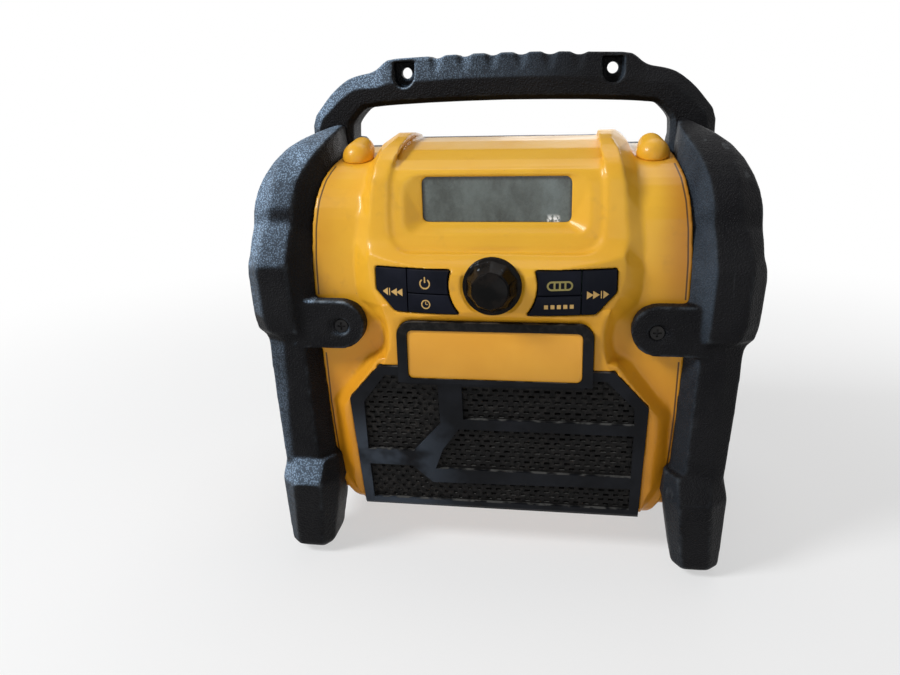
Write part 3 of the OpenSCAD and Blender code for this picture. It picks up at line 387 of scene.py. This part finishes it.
def grille_abs():
    """Black bands with a painted bluish sheen low on the left, and dust in the sunken fields
    between them and along their lower ledges.
    """
    band_black, band_soft = (0.005, 0.0055, 0.007), (0.010, 0.011, 0.014)
    field_black, field_soft = (0.005, 0.005, 0.005), (0.011, 0.010, 0.010)
    bluish_sheen, field_dust = (0.042, 0.052, 0.068), (0.065, 0.060, 0.053)
    ledge_dust = (0.130, 0.128, 0.122)
    f = Finish("grille_black", Specular_IOR_Level=0.08)
    face = (f.z - GRILLE_FOOT_Z * MM) * GRILLE_LEAN + GRILLE_FOOT_Y * MM
    sunk = (f.y + face).along(FIELD_DEPTH)
    broad = f.noise(38, 3, 0.6)
    fine = f.noise(420, 3, 0.7)
    left = f.x.along(DUST_AND_SHEEN_GRILLE_X)
    low_left = left * f.z.along(SHEEN_GRILLE_Z)
    band = f.mix(broad.ramp(0.35, 0.7), band_black, band_soft)
    # Painted sheen: the bands low on the left turn bluish
    band = f.mix(low_left * broad.ramp(0.32, 0.52) * 0.9, band, bluish_sheen)
    field = f.mix(fine.ramp(0.35, 0.7), field_black, field_soft)
    dust_and_highlight = fine.ramp(0.42, 0.7) * (broad.ramp(0.36, 0.62) * 0.7 + left * 0.45)
    field = f.mix(dust_and_highlight.least(1) * 0.24, field, field_dust)
    ledge = f.facing(LEDGE_SIDE).ramp(0.75, 0.95) * f.noise(160, 3).ramp(0.38, 0.60)
    field = f.mix(ledge * 0.6, field, ledge_dust)
    f.set(
        Base_Color=f.mix(sunk.most(ledge), band, field),
        Roughness=sunk * 0.18 + broad.ramp(0.3, 0.7, 0.34, 0.46),
        Normal=f.bump(f.noise(1300, 2), 0.05),
    )
    return f.material


def key_plastic():
    """Blue-black keys."""
    f = Finish("key_blue_black", Specular_IOR_Level=0.06)
    broad = f.noise(60, 3)
    f.set(
        Base_Color=f.mix(broad.ramp(0.35, 0.7), (0.004, 0.005, 0.009), (0.007, 0.008, 0.014)),
        Roughness=broad.ramp(0.3, 0.7, 0.34, 0.46),
        Normal=f.bump(f.noise(1700, 2), 0.04),
    )
    return f.material


def knob_plastic():
    """Glossy black knob, smeared by hands, with painted highlight streaks on its upper left."""
    black, smear_brown = (0.002, 0.002, 0.002), (0.008, 0.006, 0.005)
    streak_highlight_grey = (0.20, 0.23, 0.27)
    f = Finish("knob_gloss", Specular_IOR_Level=0.07)
    smear = f.noise(90, 3, 0.6)
    # Painted highlight: blue-grey streaks where the knob faces the sky
    streak_highlight = f.noise(210, 3, 0.6, stretch=(1.0, 1.0, 0.3)).ramp(0.62, 0.70)
    streak_highlight = streak_highlight * f.facing(SKY_SIDE).ramp(0.55, 0.8)
    colour = f.mix(smear.ramp(0.4, 0.7), black, smear_brown)
    f.set(
        Base_Color=f.mix(streak_highlight * 0.8, colour, streak_highlight_grey),
        Roughness=smear.ramp(0.35, 0.7, 0.16, 0.34),
        Normal=f.bump(f.noise(500, 2), 0.05, 0.4),
    )
    return f.material


def display_window():
    """Scratched clear window over the grey panel, with painted shadow at its top and ends, a
    painted sheen and a small painted glare.
    """
    panel, pale_panel = (0.044, 0.053, 0.047), (0.106, 0.128, 0.121)
    scratch_grey, sheen_grey = (0.14, 0.16, 0.15), (0.150, 0.185, 0.185)
    rim_shadow_black, glare_white = (0.012, 0.013, 0.013), (0.90, 0.92, 0.92)
    f = Finish("lens_clear", Specular_IOR_Level=0.35)
    low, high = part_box("display_lens")
    foot, top, end = low.z + COVERED * MM, high.z - COVERED * MM, high.x - COVERED * MM
    speckle = f.noise(420, 3, 0.7)
    cloud = f.noise(75, 4, 0.65, stretch=(1.0, 1.0, 0.55))
    colour = f.mix(cloud.ramp(0.32, 0.68), panel, pale_panel)
    colour = f.mix(speckle.ramp(0.50, 0.75) * 0.4, colour, scratch_grey)
    # Painted sheen: a pale streak down the window
    sheen = (f.x - SHEEN_X * MM).size().along(SHEEN_FADE) * cloud.ramp(0.25, 0.6)
    colour = f.mix(sheen * 0.55, colour, sheen_grey)
    # Painted shadow along the top and the ends
    rim_shadow = f.z.ramp(*(top - inset * MM for inset in SHADOW_TOP))
    rim_shadow = rim_shadow.most(f.x.size().ramp(*(end - inset * MM for inset in SHADOW_ENDS)))
    colour = f.mix(rim_shadow * 0.85, colour, rim_shadow_black)
    # Painted glare near the foot
    glare = (f.x - GLARE_X * MM).size().along(GLARE_FADE)
    glare = glare * f.z.ramp(*(foot + height * MM for height in GLARE_HEIGHT))
    colour = f.mix(glare * speckle.ramp(0.44, 0.52), colour, glare_white)
    f.set(
        Base_Color=colour,
        Roughness=speckle.ramp(0.3, 0.8, 0.22, 0.40),
        Coat_Weight=0.25,
        Coat_Roughness=0.10,
    )
    return f.material


def yellow_plate():
    """Bare badge plate."""
    f = Finish("yellow_plate")
    cloud = f.noise(30, 3)
    f.set(
        Base_Color=f.mix(cloud.ramp(0.35, 0.7), (0.76, 0.355, 0.020), (0.70, 0.31, 0.014)),
        Roughness=cloud.ramp(0.3, 0.7, 0.30, 0.42),
        Normal=f.bump(f.noise(1500, 2), 0.03, 0.4),
    )
    return f.material


def plain(name, light, dark, roughness, metal=0.0, grain=900, depth=0.04, specular=0.5):
    """A colour that clouds over into a darker one, with a fine grain."""
    f = Finish(name, Metallic=metal, Specular_IOR_Level=specular)
    cloud = f.noise(80, 3)
    f.set(
        Base_Color=f.mix(cloud.ramp(0.35, 0.7), light, dark),
        Roughness=cloud.ramp(0.3, 0.7, roughness - 0.06, roughness + 0.08),
        Normal=f.bump(f.noise(grain, 2), depth),
    )
    return f.material


FINISHES = {
    "yellow_abs": yellow_abs(),
    "yellow_plate": yellow_plate(),
    "black_abs": black_abs(),
    "bumper_rubber": rubber(),
    "seal_rubber": plain("seal_rubber", (0.02, 0.02, 0.02), (0.03, 0.03, 0.03), 0.7),
    "steel": plain("steel", (0.060, 0.060, 0.065), (0.035, 0.035, 0.038), 0.42, metal=0.7),
    "magnet_steel": plain("magnet_steel", (0.10, 0.10, 0.11), (0.06, 0.06, 0.07), 0.4, metal=0.5),
    "dust_cloth": plain("dust_cloth", (0.10, 0.085, 0.06), (0.035, 0.032, 0.028), 0.85, grain=2600,
                        depth=0.2),
    "cone_paper": plain("cone_paper", (0.03, 0.03, 0.03), (0.02, 0.02, 0.02), 0.8),
    "lead_red": plain("lead_red", (0.45, 0.03, 0.02), (0.35, 0.02, 0.02), 0.5),
    "lens_clear": display_window(),
    "lcd_grey": plain("lcd_grey", (0.16, 0.18, 0.16), (0.12, 0.14, 0.12), 0.3),
    "board_green": plain("board_green", (0.02, 0.15, 0.07), (0.015, 0.10, 0.05), 0.35),
    "socket_black": plain("socket_black", (0.02, 0.02, 0.02), (0.012, 0.012, 0.012), 0.4),
    "brass": plain("brass", (0.75, 0.55, 0.25), (0.6, 0.42, 0.18), 0.3, metal=1.0),
    "knob_gloss": knob_plastic(),
    "key_blue_black": key_plastic(),
}
GOLD_PRINT = plain("print_gold", (0.55, 0.34, 0.10), (0.44, 0.27, 0.08), 0.5)
OLIVE_PRINT = plain("print_olive", (0.26, 0.215, 0.055), (0.20, 0.165, 0.045), 0.5)
slot_of = {s["node"]: s["material_slot"] for s in frame["record"]["subparts"]}
for node, piece in nodes.items():
    piece.data.materials.clear()
    piece.data.materials.append(FINISHES[slot_of[node]])
nodes["speaker_grille"].data.materials[0] = grille_abs()
nodes["bumper_screws"].data.materials[0] = plain(
    "screw_black", (0.006, 0.006, 0.007), (0.014, 0.013, 0.012), 0.40, specular=0.15
)

# ---- pieces ------------------------------------------------------------------------------

FLAT_ANGLE = 0.5  # degrees within which neighbouring faces are one flat
BEVEL_SEGMENTS, BEVEL_ANGLE = 2, 32  # edges of more degrees than this are bevelled
SMOOTHING = 0.5  # how far a round of smoothing moves a vertex towards its neighbours


def place(name, mesh, body, slot, material=None):
    """A finished piece that rides on a body, in its slot's finish or in another material."""
    piece = bpy.data.objects.new(name, mesh)
    bpy.context.scene.collection.objects.link(piece)
    mesh.materials.clear()
    mesh.materials.append(material or FINISHES[slot])
    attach(piece, body)
    return piece


def merged_copy(node):
    """A CAD node's mesh with its loose triangles joined."""
    mesh = bmesh.new()
    mesh.from_mesh(nodes[node].data)
    bmesh.ops.remove_doubles(mesh, verts=mesh.verts, dist=MERGE_GAP)
    return mesh


def stand_in(name, copy, node):
    """A piece on a CAD node's body, from a bmesh that it then frees."""
    mesh = bpy.data.meshes.new(name)
    copy.to_mesh(mesh)
    copy.free()
    return place(name, mesh, body_of_node[node], slot_of[node])


def apply_modifiers(piece):
    scene = bpy.context.evaluated_depsgraph_get()
    mesh = bpy.data.meshes.new_from_object(piece.evaluated_get(scene), depsgraph=scene)
    piece.modifiers.clear()
    old, piece.data = piece.data, mesh
    bpy.data.meshes.remove(old)


def shade_smooth(mesh):
    for face in mesh.polygons:
        face.use_smooth = True


def soften(piece, rounds, reach):
    """Rounds a piece's edges further, by a share from 0 to 1 that reach gives for a place."""
    group = piece.vertex_groups.new(name="soft")
    for vertex in piece.data.vertices:
        share = reach(*(c / MM for c in vertex.co))
        if share > 0:
            group.add([vertex.index], min(share, 1), "REPLACE")
    smooth = piece.modifiers.new("soften", "SMOOTH")
    smooth.factor, smooth.iterations, smooth.vertex_group = SMOOTHING, rounds, "soft"
    apply_modifiers(piece)
    piece.vertex_groups.clear()


def moulded(node, voxel, rounds, triangles, soft=(), add=None):
    """Stands for a CAD node, with the soft edges that a mould leaves. Each entry of soft is
    more rounds of smoothing and where they reach, and add thickens the mesh first."""
    copy = merged_copy(node)
    if add:
        add(copy)
    piece = stand_in(node + "_moulded", copy, node)
    remesh = piece.modifiers.new("remesh", "REMESH")
    remesh.mode, remesh.voxel_size = "VOXEL", voxel * MM
    smooth = piece.modifiers.new("smooth", "SMOOTH")
    smooth.factor, smooth.iterations = SMOOTHING, rounds
    apply_modifiers(piece)
    for further, reach in soft:
        soften(piece, further, reach)
    count = sum(len(face.vertices) - 2 for face in piece.data.polygons)
    if count > triangles:
        thin = piece.modifiers.new("thin", "DECIMATE")
        thin.ratio = triangles / count
        apply_modifiers(piece)
    shade_smooth(piece.data)
    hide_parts(node)


def eased(node, width):
    """Stands for a CAD node, with its edges bevelled by a width in mm."""
    copy = merged_copy(node)
    bmesh.ops.dissolve_limit(
        copy, angle_limit=math.radians(FLAT_ANGLE), verts=copy.verts, edges=copy.edges
    )
    piece = stand_in(node + "_eased", copy, node)
    bevel = piece.modifiers.new("bevel", "BEVEL")
    bevel.width, bevel.segments = width * MM, BEVEL_SEGMENTS
    bevel.limit_method, bevel.angle_limit = "ANGLE", math.radians(BEVEL_ANGLE)
    bevel.harden_normals = True
    shade_smooth(piece.data)
    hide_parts(node)


def crown(x, y, z):
    """The share of softening above the keys and the knob, where the front shell's ridges are
    broad, clear of the display's window and the bumpers. Each line is a distance inside the
    zone over the width of its soft border."""
    return min(
        (z - CROWN_Z[0]) / 4,
        (CROWN_Z[1] - z) / 6,
        (CROWN_END_X - abs(x)) / 6,
        max(abs(x) - WINDOW_HALF_X, abs(z - WINDOW_Z) - WINDOW_HALF_Z) / 5,
        (math.hypot(x, z - KNOB_Z) - KNOB_ROOM) / 4,
    )


def flank(x, y, z):
    """The share of softening beside the grille, where the front shell swells, clear of the
    grille's and the badge frame's edges, the screw bosses and the bumpers."""
    grille_half = min(
        GRILLE_HALF + (z - GRILLE_FOOT_Z) * GRILLE_GAIN,
        CORNER_HALF - max(z - CORNER_Z, 0) * CORNER_LOSS,
    )
    frame_half = FRAME_HALF if FRAME_Z[0] < z < FRAME_Z[1] else 0
    return min(
        (abs(x) - max(grille_half, frame_half) - EDGE_ROOM) / 3,
        (z - FLANK_Z[0]) / 5,
        (FLANK_Z[1] - z) / 4,
        (FLANK_END_X - abs(x)) / 3,
        (math.hypot(abs(x) - BOSS_X, z - BOSS_Z) - BOSS_RADIUS) / 3,
        (FLANK_REAR_Y - y) / 5,
    )


def added_vertices(made):
    """The vertices that an extrusion made."""
    return [part for part in made["geom"] if isinstance(part, bmesh.types.BMVert)]


def add_ribs(mesh):
    """Thickens the display channel's side walls from inside."""
    near, far = RIB_X
    for side in (-1, 1):
        face = mesh.faces.new([mesh.verts.new((side * near * MM, y * MM, z * MM)) for y, z in RIB])
        made = bmesh.ops.extrude_face_region(mesh, geom=[face])
        bmesh.ops.translate(
            mesh, verts=added_vertices(made), vec=(side * (far - near) * MM, 0, 0)
        )
    bmesh.ops.recalc_face_normals(mesh, faces=mesh.faces)


# Voxel size in mm, rounds of smoothing and most triangles, and what else moulded takes
for node, settings in {
    "left_bumper": (1.2, 6, 150000),
    "right_bumper": (1.2, 6, 150000),
    "handle": (0.8, 4, 150000),
    "front_housing": (0.75, 3, 190000, [(28, crown), (90, flank)], add_ribs),
    "rear_housing": (1.3, 3, 150000),
    "top_studs": (0.5, 16, 30000),
    "tuning_knob": (0.4, 22, 60000),
}.items():
    moulded(node, *settings)

# Width of the bevels in mm
for node, width in {
    "seek_down_key": 0.4, "power_key": 0.35, "clock_key": 0.35, "mode_key": 0.35,
    "preset_key": 0.35, "seek_up_key": 0.4, "badge_plate": 0.4, "battery_door": 0.8,
    "door_latch": 0.5, "knob_cap": 0.3, "aerial_base": 0.5,
    "aerial_whip": 0.4, "battery_bay": 0.5, "power_jack": 0.4, "aux_jack": 0.3,
}.items():
    eased(node, width)

# ---- printed symbols on the keys ---------------------------------------------------------


def on_key(x):
    """Y of the keys' curved face at x, both in metres."""
    reach = (NOSE_RADIUS + KEY_PROUD) * MM
    return (NOSE_Y + NOSE_RADIUS) * MM - math.sqrt(reach**2 - x * x)


def symbol(name, body, centre, outlines, colour=GOLD_PRINT):
    """Thin print on a key, from outlines of X and Z in mm about its centre."""
    mesh = bmesh.new()
    for outline in outlines:
        corners = [((centre[0] + x) * MM, (centre[1] + z) * MM) for x, z in outline]
        mesh.faces.new(
            [mesh.verts.new((x, on_key(x) - PRINT_GAP * MM, z)) for x, z in corners]
        )
    made = bmesh.ops.extrude_face_region(mesh, geom=mesh.faces[:])
    bmesh.ops.translate(mesh, verts=added_vertices(made), vec=(0, -PRINT_THICKNESS * MM, 0))
    bmesh.ops.recalc_face_normals(mesh, faces=mesh.faces)
    data = bpy.data.meshes.new(name)
    mesh.to_mesh(data)
    mesh.free()
    place(name, data, body, "key_blue_black", colour)


def arc(inner, outer, start, end, x=0, steps=20):
    """Part of a ring about (x, 0), between two radii and two angles in degrees."""
    turn = [math.radians(start + (end - start) * i / steps) for i in range(steps + 1)]
    return [(x + outer * math.cos(t), outer * math.sin(t)) for t in turn] + [
        (x + inner * math.cos(t), inner * math.sin(t)) for t in reversed(turn)
    ]


def bar(x0, x1, z0, z1):
    """Upright or level stroke."""
    return [(x0, z0), (x1, z0), (x1, z1), (x0, z1)]


def arrow(x, side, length=3.2, half=2.0):
    """Triangle that starts at x and points to a side."""
    return [(x, -half), (x + side * length, 0), (x, half)]


for side, way in ((-1, "down"), (1, "up")):
    symbol(f"seek_{way}_symbol", f"seek_{way}_key", (side * 45.8, 158.2), [
        arrow(0, side), arrow(side * 3.0, side),
        bar(*sorted((side * 6.7, side * 7.2)), -1.9, 1.9),
        arrow(side * 7.9, side, 2.8),
    ])
symbol("power_symbol", "power_key", (-33.8, 163.4), [
    arc(2.1, 2.8, 125, 415, steps=28), bar(-0.35, 0.35, 0.5, 3.5),
])
symbol("clock_symbol", "clock_key", (-33.6, 152.8), [
    arc(1.8, 2.4, 0, 180), arc(1.8, 2.4, 180, 360),
    bar(-0.2, 0.2, 0, 1.4), bar(0.2, 1.1, -0.2, 0.2),
])
symbol("mode_symbol", "mode_key", (32.8, 163.2), [
    *[arc(1.5, 2.4, side * -90, side * -90 + 180, side * 3.9) for side in (-1, 1)],
    bar(-3.9, 3.9, 1.5, 2.4), bar(-3.9, 3.9, -2.4, -1.5),
    *[bar(x - 0.45, x + 0.45, -1.5, 1.5) for x in (-2.6, 0, 2.6)],
], OLIVE_PRINT)
symbol("preset_symbol", "preset_key", (25.3, 151.7), [
    bar(3.1 * i, 3.1 * i + 1.9, 0, 2.0) for i in range(5)
])

# ---- floor, light and camera -------------------------------------------------------------

WORLD_LIGHT, WORLD_SEEN = 0.13, 1.0  # the world's strength as a light and as a background
FLOOR_SIZE = 6  # metres
# The floor turns white between two distances in metres, from one share to the other
GLOW_REACH, GLOW = (0.2, 0.8), (0.55, 1.0)
# The camera stands to the right of the middle and looks down at the front, with angles in
# degrees and its lens and sensor in mm
CAMERA_PLACE = Vector((40.59, -460.16, 260.14)) * MM
PITCH, TURN, ROLL = 17.95, 9.34, 1.53
LENS, SENSOR = 32.0, 36.0

# Place and target in metres, width, power in watts and colour of each lamp
for name, spot, target, size, power, colour in (
    ("window", (-1.05, -0.75, 1.12), (0, 0, 0.14), 0.5, 21, (0.97, 0.985, 1.0)),
    ("fill", (1.2, -0.9, 0.35), (0, 0, 0.08), 0.9, 1.0, (1.0, 0.98, 0.95)),
    ("overhead", (0.1, 0.35, 1.5), (0, 0, 0.15), 1.0, 4.5, (1, 1, 1)),
    ("low", (0.2, -1.6, 0.15), (0, 0, 0.06), 1.0, 2.8, (1, 1, 1)),
    ("back", (0.3, 1.7, 0.5), (0, 0, 0.1), 1.0, 3.0, (1, 1, 1)),
):
    lamp = bpy.data.lights.new(name, "AREA")
    lamp.shape, lamp.size, lamp.energy, lamp.color = "DISK", size, power, colour
    lit = bpy.data.objects.new(name, lamp)
    lit.location = spot
    lit.rotation_euler = (Vector(target) - Vector(spot)).to_track_quat("-Z", "Y").to_euler()
    bpy.context.scene.collection.objects.link(lit)

world = bpy.data.worlds.new("studio")
bpy.context.scene.world = world
world.use_nodes = True
studio = Graph(world.node_tree)
background = world.node_tree.nodes["Background"].inputs
studio.join(background["Color"], (1, 1, 1))
studio.join(background["Strength"], studio.node(
    "ShaderNodeMapRange",
    {},
    {"Value": studio.seen_directly(), "To Min": WORLD_LIGHT, "To Max": WORLD_SEEN},
))

ground = bmesh.new()
bmesh.ops.create_grid(ground, x_segments=1, y_segments=1, size=FLOOR_SIZE)
floor_mesh = bpy.data.meshes.new("floor")
ground.to_mesh(floor_mesh)
ground.free()
floor = bpy.data.objects.new("floor", floor_mesh)
bpy.context.scene.collection.objects.link(floor)
pale = Finish("floor_pale", Roughness=0.8)
pale.set(Base_Color=pale.mix(pale.noise(3, 2).ramp(0.3, 0.7), (0.86, 0.86, 0.86),
                             (0.84, 0.84, 0.84)))
far = pale.node("ShaderNodeVectorMath", {"operation": "LENGTH"}, {0: pale.place}, "Value")
glow = far.ramp(*GLOW_REACH, *GLOW) * pale.seen_directly()
pale.join(pale.tree.nodes["Material Output"].inputs["Surface"], pale.node(
    "ShaderNodeMixShader",
    {},
    {0: glow, 1: Value(pale, pale.shader.outputs[0]), 2: pale.node("ShaderNodeEmission")},
))
floor_mesh.materials.append(pale.material)

camera_data = bpy.data.cameras.new("camera")
camera_data.lens, camera_data.sensor_width = LENS, SENSOR
camera = bpy.data.objects.new("camera", camera_data)
camera.matrix_world = (
    Matrix.Translation(CAMERA_PLACE)
    @ Matrix.Rotation(math.radians(TURN), 4, "Z")
    @ Matrix.Rotation(math.radians(90 - PITCH), 4, "X")
    @ Matrix.Rotation(math.radians(-ROLL), 4, "Z")
)
bpy.context.scene.collection.objects.link(camera)
bpy.context.scene.camera = camera
bpy.context.scene.view_settings.view_transform = "Standard"
